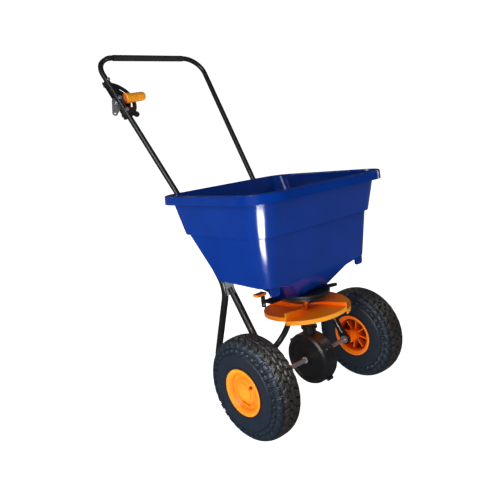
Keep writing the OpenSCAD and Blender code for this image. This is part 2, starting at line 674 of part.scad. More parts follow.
// a station grown outward by d and moved up by dz
function grow(st, d, dz) =
    [st[0] + dz, st[1] + d, st[2] + d, st[3] - d, st[4] + d, max(1, st[5] + d), max(1, st[6] + d)];
corner_steps = 9;
function arc_corner(p0, p1, p2, r) =
    let (a = unit(p0 - p1), b = unit(p2 - p1), half = acos(a * b) / 2,
         c = p1 + unit(a + b) * r / sin(half), s = p1 + a * r / tan(half) - c,
         t0 = atan2(s[1], s[0]), turn = 180 - 2 * half)
    [for (i = [0 : corner_steps])
        c + r * [cos(t0 + turn * i / corner_steps), sin(t0 + turn * i / corner_steps)]];
function station_ring(st) =
    let (q = [[-st[1], st[3]], [st[1], st[3]], [st[2], st[4]], [-st[2], st[4]]],
         rr = [st[5], st[5], st[6], st[6]])
    [for (i = [0 : 3])
        for (p = arc_corner(q[(i + 3) % 4], q[i], q[(i + 1) % 4], rr[i])) [p[0], p[1], st[0]]];

wall_top = grow(station_rim, -flange_w, -3);
module hopper_shell() {
    w = hopper_wall;
    skin([for (st = [
        grow(station_floor, -w, w), grow(station_outlet, -w, 2), grow(station_funnel, -w, w),
        grow(station_shoulder, -w, w), grow(station_body, -w, w - 1), grow(station_ledge, -w, w - 1),
        grow(wall_top, -w, 0), grow(station_rim, -flange_w - 1, 0), grow(station_rim, -2.5, 0),
        grow(station_rim, -0.6, -1), grow(station_rim, 0, -3), grow(station_rim, 1, -skirt_h),
        grow(station_rim, -2, -skirt_h), grow(station_rim, -3, -3.6), grow(wall_top, 0, -0.6),
        station_ledge, station_body, station_shoulder, station_funnel, station_outlet, station_floor,
    ]) station_ring(st)]);
}
port_y = 34;
ports = [-port_pitch, 0, port_pitch];
floor_bush_r = shaft_r + 4;
plate_screws = [[-52, -8], [52, -8], [-36, 62.5], [36, 62.5]];
skirt_low = floor_z - 5.5;      // the floor's side skirts reach this far down beside the base plate
// lug under each front corner of the shoulder
module corner_lug() {
    translate([0, -55, 0]) rotate([90, 0, 0]) linear_extrude(5) polygon([
        [150, 247], [151, 231], [155, 227], [175, 227], [179, 231], [180, 251.5],
    ]);
}
module hopper() {
    color(hopper_blue) difference() {
        machine() union() {
            hopper_shell();
            both_sides() {
                corner_lug();
                translate([outlet_half_w - 3.1, 8, skirt_low]) cube([3, 52, floor_z - skirt_low + 1]);
            }
        }
        machine() translate([0, 0, floor_z - over]) {
            for (x = ports) translate([x, port_y, 0]) cylinder(r = port_d / 2, h = 3 * over);
            cylinder(r = floor_bush_r, h = 3 * over);
            for (p = plate_screws) translate(p) cylinder(r = screw_r, h = 3 * over);
        }
        both_sides() handle_plane() for (s = hopper_bolt_s) translate([leg_x, -40, s])
            along_y() cylinder(r = bolt_r, h = 36);
    }
}
// the rear wall is parallel to the handle; this is its distance ahead of the leg's middle
wall_gap = (knee_y + (ledge_z - 1 - knee_z) * tan(handle_lean) - lower_rear_y) * cos(handle_lean);
module hopper_spacers() {
    color(moulded_black) both_sides() handle_plane() for (s = hopper_bolt_s) difference() {
        translate([leg_x, -wall_gap, s]) along_y() ring(9, bolt_r, wall_gap);
        translate([leg_x, 0, s - 20]) cylinder(r = frame_tube_r, h = 40);
    }
}
module hopper_bolts() {
    color(zinc) both_sides() handle_plane() for (s = hopper_bolt_s)
        translate([leg_x, frame_tube_r + 1, s]) rotate([90, 0, 0]) bolt(frame_tube_r + 1 + wall_gap + 12);
}
module hopper_nuts() {
    color(zinc) both_sides() handle_plane() for (s = hopper_bolt_s)
        translate([leg_x, -wall_gap - 11, s]) along_y() difference() {
            cylinder(r = 5.5, h = 5, $fn = 6);
            translate([0, 0, -1]) cylinder(r = bolt_r, h = 7);
        }
}

// ------------------------------------------------------------ metering
base_r = 66;
lower_plate_r = 60;
lower_plate_t = 5.5;
gate_front_y = port_y - 20;
gate_back_y = port_y + 20;
base_bottom = floor_z - base_t;
gate_top = base_bottom - gate_gap;
guide_z = gate_top - gate_t - gate_gap;     // top of the lower plate, which carries the gate
gate_travel = port_pitch / 2;
rail_w = 4;
tongue_tip = [80, -36];
tongue_r = 7;
module base_outline() {
    circle(r = base_r, $fn = 96);
    translate([-60, 1]) square([120, 67]);
    polygon([[40, -8], tongue_tip + [0.4, 1] * (tongue_r - 0.6), tongue_tip - [0.4, 1] * (tongue_r - 0.6),
        [30, -30]]);
    translate(tongue_tip) circle(r = tongue_r, $fn = 32);
}
// an upper plate under the hopper's floor, two rails, and a round lower plate
module base_plate() {
    color(moulded_black) machine() difference() {
        union() {
            translate([0, 0, base_bottom]) linear_extrude(base_t) base_outline();
            translate([0, 0, guide_z - lower_plate_t])
                cylinder(r = lower_plate_r, h = lower_plate_t, $fn = 96);
            for (rail = [[gate_front_y - seat - rail_w, 54], [gate_back_y + seat, 20]])
                translate([-rail[1], rail[0], guide_z - 1])
                    cube([2 * rail[1], rail_w, base_bottom - guide_z + 2]);
        }
        translate([0, 0, guide_z - lower_plate_t - over]) {
            for (x = ports) translate([x, port_y, 0]) cylinder(r = port_d / 2, h = 6 * over);
            cylinder(r = floor_bush_r, h = 6 * over);
        }
        for (p = plate_screws)
            translate([p[0], p[1], base_bottom - 1]) cylinder(r = screw_r, h = 2 * base_t);
        // room for the heads of the front screws
        for (p = plate_screws) translate([p[0], p[1], guide_z - lower_plate_t - 1])
            cylinder(r = 5, h = base_bottom - guide_z + lower_plate_t + 1);
    }
}
module base_plate_screws() {
    color(zinc) machine() for (p = plate_screws) translate([p[0], p[1], base_bottom - 2.5]) {
        cylinder(r = 3.8, h = 2.5);
        cylinder(r = screw_r - touch, h = base_t + 2.5 + hopper_wall);
    }
}
module floor_bush() {
    color([0.85, 0.85, 0.82]) machine() translate([0, 0, base_bottom]) difference() {
        union() {
            cylinder(r = floor_bush_r - touch, h = base_t + hopper_wall + 5);
            translate([0, 0, base_t + hopper_wall]) cylinder(r = floor_bush_r + 3, h = 2);
        }
        translate([0, 0, -1]) cylinder(r = shaft_r + run_fit, h = 3 * base_t + hopper_wall);
    }
}
gate_left_x = -113;
gate_right_x = 62;
post_t = 3;
post_y = [38, 52];          // front and back of the post at the gate's left end
post_low = -12;             // the post's ends, from the gate's underside
post_high = 30;
tab_z = 22;                 // underside of the tab on the post
tab_t = 6;
module gate_plate() {
    color(moulded_black) machine() translate([0, 0, gate_top - gate_t]) difference() {
        union() {
            translate([gate_left_x, gate_front_y, 0])
                cube([gate_right_x - gate_left_x, gate_back_y - gate_front_y, gate_t]);
            // rounded right end
            translate([gate_right_x, port_y, 0])
                cylinder(r = (gate_back_y - gate_front_y) / 2 - step_in, h = gate_t - step_in);
            translate([gate_left_x - post_t + 0.5, post_y[0], post_low])
                cube([post_t, post_y[1] - post_y[0], post_high - post_low]);
        }
        for (x = ports) translate([x + gate_travel, port_y, -1]) cylinder(r = port_d / 2, h = gate_t + 2);
        translate([gate_left_x - over, (post_y[0] + post_y[1]) / 2, post_low + 6])
            along_x() cylinder(r = 2.5, h = 2 * over);
    }
}
// a finger tab pressed over the post, to free a jammed gate
module gate_tab() {
    color(orange) machine()
        translate([gate_left_x - 28, post_y[0] - 3, gate_top - gate_t + tab_z]) difference() {
        linear_extrude(tab_t) offset(r = 3) offset(delta = -3) square([34, post_y[1] - post_y[0] + 6]);
        translate([28 - post_t + 0.5 - touch, 3 - touch, -1])
            cube([post_t + 2 * touch, post_y[1] - post_y[0] + 2 * touch, tab_t + 2]);
    }
}

// ------------------------------------------------------------ impeller
// Between two vanes the plate climbs along the rim like a shallow scoop, so it steps down
// at each vane. Angles are about the shaft, heights are in the machine's own frame.
impeller_t = 3;
impeller_rim_t = 2.5;
impeller_rim_h = 11;
impeller_lip = 0.3;         // how far the rim stands above the plate
impeller_hub_r = 14;
impeller_boss_r = 9;
hub_low = neck_top + seat;
hub_high = impeller_z + 13;
impeller_pin_z = hub_low + 6;
vane_half_t = 1.25;
vane_lap = 0.45;            // how far the plate and the rim run into each vane
first_vane = 194;
vane_pitch = 360 / vane_count;
vane_low_h = 3;             // height of the vanes at the hub
plate_in_r = impeller_hub_r - 2;
plate_radii = [plate_in_r, 20, 30, 44, 62, 84, impeller_r - 1];
vane_radii = [10, 18, 27, 38, 52, 70, 92, impeller_r - 0.4];
plate_steps = 10;
rim_steps = 16;

function polar(r, a, z) = [r * cos(a), r * sin(a), z];
function arc_angle(length, r) = length / r * 180 / PI;
// direction of a vane's middle at radius r: swept round towards the hub
function vane_angle(r) = vane_sweep * pow((impeller_r - r) / (impeller_r - 10), 1.8);
// share of the way t from one vane to the next, kept a little inside both vanes
function between_vanes(r, t) =
    let (d = arc_angle(vane_half_t - vane_lap, r)) vane_angle(r) + d + (vane_pitch - 2 * d) * t;
function plate_top(r, t) =
    impeller_z - 1 + plate_climb * (t - 0.5) * (r - plate_in_r) / (impeller_r - plate_in_r);
module plate_sector() {
    m = len(plate_radii);
    skin([for (j = [0 : plate_steps]) let (t = j / plate_steps) concat(
        [for (r = plate_radii) polar(r, between_vanes(r, t), plate_top(r, t))],
        [for (i = [m - 1 : -1 : 0]) let (r = plate_radii[i])
            polar(r, between_vanes(r, t), plate_top(r, t) - impeller_t)])], m);
}
module rim_sector() {
    skin([for (j = [0 : rim_steps]) let (t = j / rim_steps, z = plate_top(impeller_r, t),
            a = between_vanes(impeller_r, t), r = impeller_r - impeller_rim_t)
        [polar(r, a, z + impeller_lip), polar(impeller_r, a, z + impeller_lip),
         polar(impeller_r, a, z - impeller_rim_h), polar(r, a, z - impeller_rim_h)]]);
}
module vane() {
    skin([for (r = vane_radii) let (d = arc_angle(vane_half_t, r), a = vane_angle(r),
            low = plate_top(r, 0) - impeller_t - 0.5,
            high = impeller_z + vane_low_h + (vane_h - vane_low_h) * r / impeller_r)
        [polar(r, a - d, high), polar(r, a - d, low), polar(r, a + d, low), polar(r, a + d, high)]]);
}
module impeller() {
    color(orange) machine() difference() {
        union() {
            for (k = [0 : vane_count - 1]) rotate([0, 0, first_vane + k * vane_pitch]) {
                plate_sector();
                rim_sector();
                vane();
            }
            translate([0, 0, hub_low]) cylinder(r = impeller_hub_r, h = impeller_z + 1.5 - hub_low);
            translate([0, 0, impeller_z])
                cylinder(r1 = impeller_boss_r, r2 = impeller_boss_r - 1, h = hub_high - impeller_z);
        }
        translate([0, 0, hub_low - over]) cylinder(r = shaft_r + touch, h = hub_high - hub_low + 2 * over);
        shaft_pin(impeller_pin_z, impeller_r / 2);
    }
}
// a cross pin or bore through the impeller shaft
module shaft_pin(z, reach, r = cross_pin_r) {
    translate([-reach, 0, z]) along_x() cylinder(r = r, h = 2 * reach, $fn = 32);
}
shaft_low = pinion_top - 20;
shaft_high = floor_z + 44;
module impeller_shaft() {
    color(zinc) machine() difference() {
        translate([0, 0, shaft_low]) cylinder(r = shaft_r, h = shaft_high - shaft_low);
        shaft_pin(impeller_pin_z, shaft_d);
        shaft_pin(agitator_z, shaft_d, agitator_wire_r);
    }
}
module impeller_pin() {
    color(zinc) machine() shaft_pin(impeller_pin_z, impeller_hub_r);
}
// bent wire through the top of the shaft stirs the material over the ports
agitator_z = shaft_high - 8;
agitator_wire_r = 2;
module agitator() {
    r_out = 28;
    low = floor_z + hopper_wall + 6;
    color(zinc) machine() bent_bar(
        [[-r_out, 0, low], [-r_out, 0, agitator_z], [r_out, 0, agitator_z], [r_out, 0, low]],
        [0, 6, 6, 0], agitator_wire_r);
}

// ------------------------------------------------------------ lever
blade_y = 11;
blade_t = 3;
quadrant_y = 17;
quadrant_t = 3.5;
grip_x = 20.4;
grip_axis_y = -1.5;
eye_x = -28.7;
eye_z = -35.3;
quadrant_rib = 4;           // width of the raised rib round the quadrant's edge
stop = [45, -44];           // the block that stops the lever's travel, across and along the leg
module lever_quadrant() {
    color([0.2, 0.21, 0.22]) at_lever() difference() {
        union() {
            // seen from the back, with the leg's direction pointing down the page
            translate([0, quadrant_y, 0]) along_y() linear_extrude(quadrant_t) union() {
                intersection() {
                    translate([0, -quadrant_z]) circle(r = quadrant_r, $fn = 96);
                    translate([-4, -quadrant_z - quadrant_r]) square([quadrant_r + 5, 2 * quadrant_r]);
                }
                translate([stop[0], -stop[1]]) circle(r = 9, $fn = 48);
                circle(r = 12);
            }
            translate([0, quadrant_y + step_in, 0]) along_y() linear_extrude(quadrant_t + 3 - step_in) {
                intersection() {
                    translate([0, -quadrant_z]) difference() {
                        circle(r = quadrant_r - step_in, $fn = 96);
                        circle(r = quadrant_r - quadrant_rib, $fn = 96);
                    }
                    translate([-4 + step_in, -quadrant_z - quadrant_r])
                        square([quadrant_r + 5, 2 * quadrant_r]);
                }
                translate([stop[0], -stop[1]]) circle(r = 9 - step_in, $fn = 48);
            }
            for (z = quadrant_bolt_z) translate([0, 2, z]) along_y() cylinder(r = 8, h = quadrant_y - 1);
        }
        translate([0, 0, quadrant_z - 2 * quadrant_r]) cylinder(r = handle_tube_r, h = 4 * quadrant_r);
        for (z = concat(quadrant_bolt_z, [0])) translate([0, -over, z])
            along_y() cylinder(r = bolt_r, h = 40);
        // curved window that shows the lever's setting
        translate([0, quadrant_y - 1, 0]) along_y() linear_extrude(10) intersection() {
            translate([0, -quadrant_z]) difference() {
                circle(r = quadrant_r - 12, $fn = 96);
                circle(r = quadrant_r - 18, $fn = 96);
            }
            translate([30, -quadrant_z - 38]) square([60, 70]);
        }
    }
}
module quadrant_bolts() {
    color(zinc) at_lever() for (z = quadrant_bolt_z)
        translate([0, -handle_tube_r - 1, z]) along_y() {
            bolt(handle_tube_r + 1 + quadrant_y + quadrant_t + 5);
            translate([0, 0, handle_tube_r + 1 + quadrant_y + quadrant_t]) cylinder(r = 5.5, h = 4, $fn = 6);
        }
}
module lever_pivot_bolt() {
    color(zinc) at_lever() {
        translate([0, -handle_tube_r - 1, 0]) along_y() {
            bolt(handle_tube_r + 1 + quadrant_y + quadrant_t + 5);
            translate([0, 0, handle_tube_r + 1 + quadrant_y + quadrant_t]) cylinder(r = 5.5, h = 4, $fn = 6);
        }
        // spacers in front of and behind the lever
        difference() {
            translate([0, handle_tube_r - 2, 0])
                along_y() ring(7, bolt_r - touch, blade_y - seat - handle_tube_r + 2);
            translate([0, 0, -20]) cylinder(r = handle_tube_r, h = 40);
        }
        translate([0, blade_y + blade_t + seat, 0]) along_y()
            ring(7, bolt_r - touch, quadrant_y - blade_y - blade_t - seat);
    }
}
tang_l = grip_length - 20;      // how far the blade reaches into the grip
module lever_outline() {
    // seen from the back, with the leg's direction pointing down the page
    circle(r = 17);
    translate([eye_x, -eye_z]) circle(r = 8);
    polygon([[-16, -5], [eye_x - 7.5, -eye_z - 2.5], [eye_x + 3, -eye_z + 7.3], [-1, 22], [14, 9]]);
    translate([0, -8]) square([grip_x - 1, 16]);
}
module control_lever() {
    color(zinc) at_lever() difference() {
        union() {
            translate([0, blade_y, 0]) along_y() linear_extrude(blade_t) lever_outline();
            // stepped forward past the tube, and on into the grip
            translate([grip_x - 3.4, grip_axis_y - blade_t / 2 + step_in, -8 + step_in])
                cube([3, blade_y + blade_t * 1.5 - grip_axis_y - 2 * step_in, 16 - 2 * step_in]);
            translate([grip_x - 3.4 + step_in, grip_axis_y - blade_t / 2, -8 + 2 * step_in])
                cube([tang_l, blade_t, 16 - 4 * step_in]);
        }
        along_y() cylinder(r = bolt_r + run_fit, h = 40);
        translate([eye_x, 0, eye_z]) along_y() cylinder(r = 3.5, h = 40);
    }
}
module lever_grip() {
    l = grip_length;
    color(orange) at_lever() difference() {
        translate([grip_x, grip_axis_y, 0]) along_x() rotate_extrude($fn = 96) polygon([
            [0, 0], [12.5, 0], [14.4, 1.4], [15, 4], [15, l * 0.24], [13.9, l * 0.34], [13.6, l * 0.5],
            [13.4, l * 0.82], [12.4, l - 4.5], [10, l - 1.6], [7, l - 0.4], [0, l],
        ]);
        translate([grip_x - 1, grip_axis_y - blade_t / 2, -8]) cube([tang_l - 2, blade_t, 16]);
    }
}

tyre(-1);  // tyre_left
tyre(1);  // tyre_right
rim(-1);  // rim_left
rim(1);  // rim_right
hub_cap(-1);  // hub_cap_left
hub_cap(1);  // hub_cap_right
axle();
drive_pin();
split_pin();
wheel_washer();
axle_collars();
axle_gear();
gear_pin();
rear_frame();
axle_strut(-1);  // axle_strut_left
axle_strut(1);  // axle_strut_right
axle_bushes();
hopper_brackets();
handle();
crossbar_sleeve();
handle_bolts();
hopper();
hopper_spacers();
hopper_bolts();
hopper_nuts();
base_plate();
base_plate_screws();
gate_plate();
gate_tab();
floor_bush();
impeller();
impeller_shaft();
impeller_pin();
agitator();
pinion();
gearbox_half(-1);  // gearbox_left
gearbox_half(1);  // gearbox_right
gearbox_screws();
gearbox_bushes();
neck_bush();
lever_quadrant();
quadrant_bolts();
control_lever();
lever_grip();
lever_pivot_bolt();
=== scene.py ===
"""A walk-behind broadcast spreader: finishes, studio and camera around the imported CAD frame."""
import json
import math

import bmesh
import bpy
from bpy.props import FloatProperty, FloatVectorProperty, IntProperty, PointerProperty
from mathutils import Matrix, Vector


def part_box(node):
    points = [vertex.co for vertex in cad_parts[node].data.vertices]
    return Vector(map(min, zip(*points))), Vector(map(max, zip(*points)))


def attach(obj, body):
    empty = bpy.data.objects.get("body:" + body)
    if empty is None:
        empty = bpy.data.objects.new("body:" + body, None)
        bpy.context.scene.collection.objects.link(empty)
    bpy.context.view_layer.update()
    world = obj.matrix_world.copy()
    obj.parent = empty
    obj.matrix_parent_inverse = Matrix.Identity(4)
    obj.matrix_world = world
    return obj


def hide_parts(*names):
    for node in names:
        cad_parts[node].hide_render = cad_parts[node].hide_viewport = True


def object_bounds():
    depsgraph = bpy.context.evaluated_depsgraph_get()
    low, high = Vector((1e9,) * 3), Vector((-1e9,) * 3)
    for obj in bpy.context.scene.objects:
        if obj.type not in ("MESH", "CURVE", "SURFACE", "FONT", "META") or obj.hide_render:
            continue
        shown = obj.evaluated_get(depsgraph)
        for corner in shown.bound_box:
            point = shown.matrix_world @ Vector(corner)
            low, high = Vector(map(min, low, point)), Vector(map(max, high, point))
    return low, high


bl_info = {
    "name": "Broadcast spreader",
    "version": (1, 0, 0),
    "blender": (4, 5, 0),
    "location": "View3D > Sidebar > Spreader",
    "description": "Dresses the packed model of a broadcast spreader and sets up its studio",
    "category": "Object",
}

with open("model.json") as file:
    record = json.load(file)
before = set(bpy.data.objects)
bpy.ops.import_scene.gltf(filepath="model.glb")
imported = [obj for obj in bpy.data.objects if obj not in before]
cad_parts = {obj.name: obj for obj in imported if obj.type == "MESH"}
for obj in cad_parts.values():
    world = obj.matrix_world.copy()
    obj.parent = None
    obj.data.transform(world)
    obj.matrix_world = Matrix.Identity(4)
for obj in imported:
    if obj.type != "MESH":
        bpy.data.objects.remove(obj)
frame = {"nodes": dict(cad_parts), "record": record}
CAD_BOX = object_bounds()
MIDDLE = (Vector(CAD_BOX[0]) + Vector(CAD_BOX[1])) / 2
SLOT_OF = {s["node"]: s["material_slot"] for s in frame["record"]["subparts"]}
BODY_OF = {n: b for b, members in frame["record"]["behaviour"]["bodies"].items() for n in members}
MM = 0.001


def srgb(hex_colour):
    """Turns an sRGB hex colour into the linear numbers that shaders use, with an alpha of 1."""
    channels = [int(hex_colour[i:i + 2], 16) / 255 for i in (1, 3, 5)]
    linear = [c / 12.92 if c <= 0.04045 else ((c + 0.055) / 1.055) ** 2.4 for c in channels]
    return (*linear, 1.0)


def colour_property(name, description, hex_colour):
    return FloatVectorProperty(name=name, description=description, subtype="COLOR", size=3,
                               min=0, max=1, default=srgb(hex_colour)[:3])


class SpreaderColours(bpy.types.PropertyGroup):
    hopper: colour_property("Hopper", "Colour of the hopper's polypropylene", "#002F85")
    orange: colour_property("Rims and impeller", "Colour of the orange mouldings", "#FFA01E")
    tube: colour_property("Tubes", "Colour of the powder coat on the tubes", "#181818")
    moulding: colour_property("Black mouldings", "Colour of the gearbox and base plate", "#1B1C1F")
    rubber: colour_property("Tyre sides", "Colour of the rubber on the tyres' sides", "#1A2735")
    tread: colour_property("Tyre treads", "Colour of the scuffed rubber on the treads", "#2B2825")
    plating: colour_property("Plated steel", "Colour of the zinc-plated steel", "#B9BBC2")
    floor: colour_property("Floor", "Colour of the studio floor", "#F4F4F4")


class SpreaderSizes(bpy.types.PropertyGroup):
    peel_size: FloatProperty(name="Peel size", description="Width of the powder coat's ripples",
                             default=1.5 * MM, min=0.2 * MM, max=10 * MM, unit="LENGTH")
    tread_blocks: IntProperty(name="Tread blocks", description="Blocks in each row round a tyre",
                              default=36, min=20, max=48)
    lens: FloatProperty(name="Lens", description="Focal length of the camera in millimetres",
                        default=38.94, min=10, max=200, unit="CAMERA")


# ---------------------------------------------------------------- materials
CLOUD_STOPS = (0.35, 0.65)      # where the clouding of a moulding is darkest and lightest
MOULD_EDGE = 0.6 * MM           # radius of a moulding's edges as they catch the light
# Painted shade on a moulding: its colour turns to the depth colour and darkens by the share of open
# air that ambient occlusion finds round a spot:
PAINTED_SHADE_REACH = 220 * MM          # walls farther off than this don't count
PAINTED_SHADE_FADE = (0.35, 0.8)        # all depth colour below the first, none above the second
PAINTED_SHADE_FULL = 0.15               # below this it darkens too,
PAINTED_SHADE_DARK = 0.06               # down to this share where no air is seen


def add_node(tree, kind, settings=None, **inputs):
    """Adds one shader node. An input is a value, or (node, output) to link. An input's key is its
    name with _ for a space, or _ and its number where nodes share a name."""
    node = tree.nodes.new(kind)
    for key, value in (settings or {}).items():
        setattr(node, key, value)
    for key, value in inputs.items():
        socket = node.inputs[int(key[1:]) if key[0] == "_" else key.replace("_", " ")]
        if isinstance(value, tuple) and isinstance(value[0], bpy.types.Node):
            tree.links.new(value[0].outputs[value[1]], socket)
        else:
            socket.default_value = value
    return node


def set_stops(node, stops):
    """Sets a colour ramp's stops, given as (position, colour) from its start to its end."""
    elements = node.color_ramp.elements
    for element, (position, colour) in zip(elements, (stops[0], stops[-1])):
        element.position, element.color = position, colour
    for position, colour in stops[1:-1]:
        elements.new(position).color = colour


def scaled(colour, share):
    """The colour made darker or lighter."""
    return tuple(min(1, c * share) for c in colour[:3]) + (1,)


def new_material(name):
    """An empty material, its node tree, and the object's own coordinates for its textures."""
    material = bpy.data.materials.new(name)
    material.use_nodes = True
    tree = material.node_tree
    tree.nodes.clear()
    return material, tree, (add_node(tree, "ShaderNodeTexCoord"), "Object")


def moulded_plastic(name, colour, roughness, ior, grain_mm, grain_height, spread=0.12, level=0.5,
                    depth=None):
    """An injection-moulded plastic: an even colour with slight clouding, and fine mould grain that
    softens its highlights. A depth colour, where one is given, is painted shade: the colour turns
    to it and darkens where ambient occlusion finds walls near, in corners and under covers."""
    _, tree, place = new_material(name)
    cloud = add_node(tree, "ShaderNodeTexNoise", Vector=place, Scale=14.0, Detail=3.0)
    tint = add_node(tree, "ShaderNodeValToRGB", Fac=(cloud, "Fac"))
    set_stops(tint, ((CLOUD_STOPS[0], scaled(colour, 1 - spread)),
                     (CLOUD_STOPS[1], scaled(colour, 1 + spread))))
    grain = add_node(tree, "ShaderNodeTexNoise", Vector=place, Scale=1 / (grain_mm * MM),
                     Detail=2.0)
    gloss = add_node(tree, "ShaderNodeMapRange", Value=(cloud, "Fac"), To_Min=roughness * 0.85,
                     To_Max=roughness * 1.2)
    edges = add_node(tree, "ShaderNodeBevel", {"samples": 6}, Radius=MOULD_EDGE)
    bump = add_node(tree, "ShaderNodeBump", Height=(grain, "Fac"), Strength=1.0,
                    Distance=grain_height * MM, Normal=(edges, "Normal"))
    skin = add_node(tree, "ShaderNodeBsdfPrincipled", Base_Color=(tint, "Color"),
                    Roughness=(gloss, "Result"), IOR=ior, Specular_IOR_Level=level,
                    Normal=(bump, "Normal"))
    # painted shade: ambient occlusion turns the colour towards the depth colour in corners and
    # under covers, and darkens it to a small share of that colour where no open air is seen
    if depth:
        occlusion_share = add_node(tree, "ShaderNodeAmbientOcclusion", {"samples": 8}, Distance=PAINTED_SHADE_REACH)
        unshaded_share = add_node(tree, "ShaderNodeMapRange", Value=(occlusion_share, "AO"),
                            From_Min=PAINTED_SHADE_FADE[0], From_Max=PAINTED_SHADE_FADE[1])
        painted_shade_colour = add_node(tree, "ShaderNodeValToRGB", Fac=(occlusion_share, "AO"))
        set_stops(painted_shade_colour, ((0.0, scaled(depth, PAINTED_SHADE_DARK)), (PAINTED_SHADE_FULL, depth)))
        painted_shade_tint = add_node(tree, "ShaderNodeMix", {"data_type": "RGBA"},
                            Factor=(unshaded_share, "Result"), _6=(painted_shade_colour, "Color"), _7=(tint, "Color"))
        tree.links.new(painted_shade_tint.outputs[2], skin.inputs["Base Color"])
    add_node(tree, "ShaderNodeOutputMaterial", Surface=(skin, "BSDF"))


def powder_coat(name, colour, peel):
    """Powder-coated steel: a thick gloss skin, with a fine orange peel that breaks up its
    highlights and thin dust that dulls them in patches."""
    _, tree, place = new_material(name)
    ripple = add_node(tree, "ShaderNodeTexNoise", Vector=place, Scale=1 / peel, Detail=1.0)
    dust = add_node(tree, "ShaderNodeTexNoise", Vector=place, Scale=25.0, Detail=4.0)
    gloss = add_node(tree, "ShaderNodeMapRange", Value=(dust, "Fac"), To_Min=0.3, To_Max=0.42)
    bump = add_node(tree, "ShaderNodeBump", Height=(ripple, "Fac"), Strength=1.0,
                    Distance=0.03 * MM)
    skin = add_node(tree, "ShaderNodeBsdfPrincipled", Base_Color=colour,
                    Roughness=(gloss, "Result"), IOR=1.5, Coat_Weight=0.2, Coat_Roughness=0.2,
                    Normal=(bump, "Normal"))
    add_node(tree, "ShaderNodeOutputMaterial", Surface=(skin, "BSDF"))


def metal(name, colour):
    """A soft metal sheen, clouded where the plating or the sintered grain varies."""
    _, tree, place = new_material(name)
    cloud = add_node(tree, "ShaderNodeTexNoise", Vector=place, Scale=90.0, Detail=3.0)
    gloss = add_node(tree, "ShaderNodeMapRange", Value=(cloud, "Fac"), To_Min=0.24, To_Max=0.42)
    skin = add_node(tree, "ShaderNodeBsdfPrincipled", Base_Color=colour, Metallic=0.7,
                    Roughness=(gloss, "Result"))
    add_node(tree, "ShaderNodeOutputMaterial", Surface=(skin, "BSDF"))


def vulcanised_rubber(name, side_colour, tread_colour):
    """Vulcanised tyre rubber: dull and bluish on the moulded side, brown-black and scuffed on the
    tread, with painted shade that darkens it down in the grooves. The tyre's mesh holds which is
    which, and how deep each groove is, in its tread attribute."""
    _, tree, place = new_material(name)
    tread = add_node(tree, "ShaderNodeAttribute", {"attribute_name": "tread"})
    parts = add_node(tree, "ShaderNodeSeparateColor", Color=(tread, "Color"))
    bloom = add_node(tree, "ShaderNodeTexNoise", Vector=place, Scale=30.0, Detail=5.0)
    base = add_node(tree, "ShaderNodeMix", {"data_type": "RGBA"}, Factor=(parts, "Red"),
                    _6=side_colour, _7=tread_colour)
    patchy = add_node(tree, "ShaderNodeMapRange", Value=(bloom, "Fac"), To_Min=0.75, To_Max=1.3)
    # painted shade: the deeper the groove, the darker the rubber
    groove_shade = add_node(tree, "ShaderNodeMapRange", Value=(parts, "Green"), To_Min=1.0, To_Max=0.35)
    level = add_node(tree, "ShaderNodeMath", {"operation": "MULTIPLY"}, _0=(patchy, "Result"),
                     _1=(groove_shade, "Result"))
    tint = add_node(tree, "ShaderNodeVectorMath", {"operation": "SCALE"}, _0=(base, 2),
                    Scale=(level, "Value"))
    # 1 mm grain, coarser than the real skin so that it shows
    grain = add_node(tree, "ShaderNodeTexNoise", Vector=place, Scale=900.0, Detail=2.0)
    bump = add_node(tree, "ShaderNodeBump", Height=(grain, "Fac"), Strength=0.8,
                    Distance=0.15 * MM)
    gloss = add_node(tree, "ShaderNodeMapRange", Value=(bloom, "Fac"), To_Min=0.42, To_Max=0.56)
    skin = add_node(tree, "ShaderNodeBsdfPrincipled", Base_Color=(tint, "Vector"),
                    Roughness=(gloss, "Result"), IOR=1.52, Specular_IOR_Level=0.5,
                    Normal=(bump, "Normal"))
    add_node(tree, "ShaderNodeOutputMaterial", Surface=(skin, "BSDF"))


FINISH_OF = {
    "blue_plastic": "moulded_polypropylene_blue",
    "orange_plastic": "moulded_polypropylene_orange",
    "black_plastic": "moulded_nylon_black",
    "white_plastic": "moulded_acetal_white",
    "soft_grip": "foamed_vinyl_sleeve_black",
    "black_paint": "powder_coated_steel_black",
    "zinc_steel": "zinc_plated_steel",
    "gear_steel": "sintered_gear_steel",
    "tyre": "vulcanised_rubber_tyre",
}


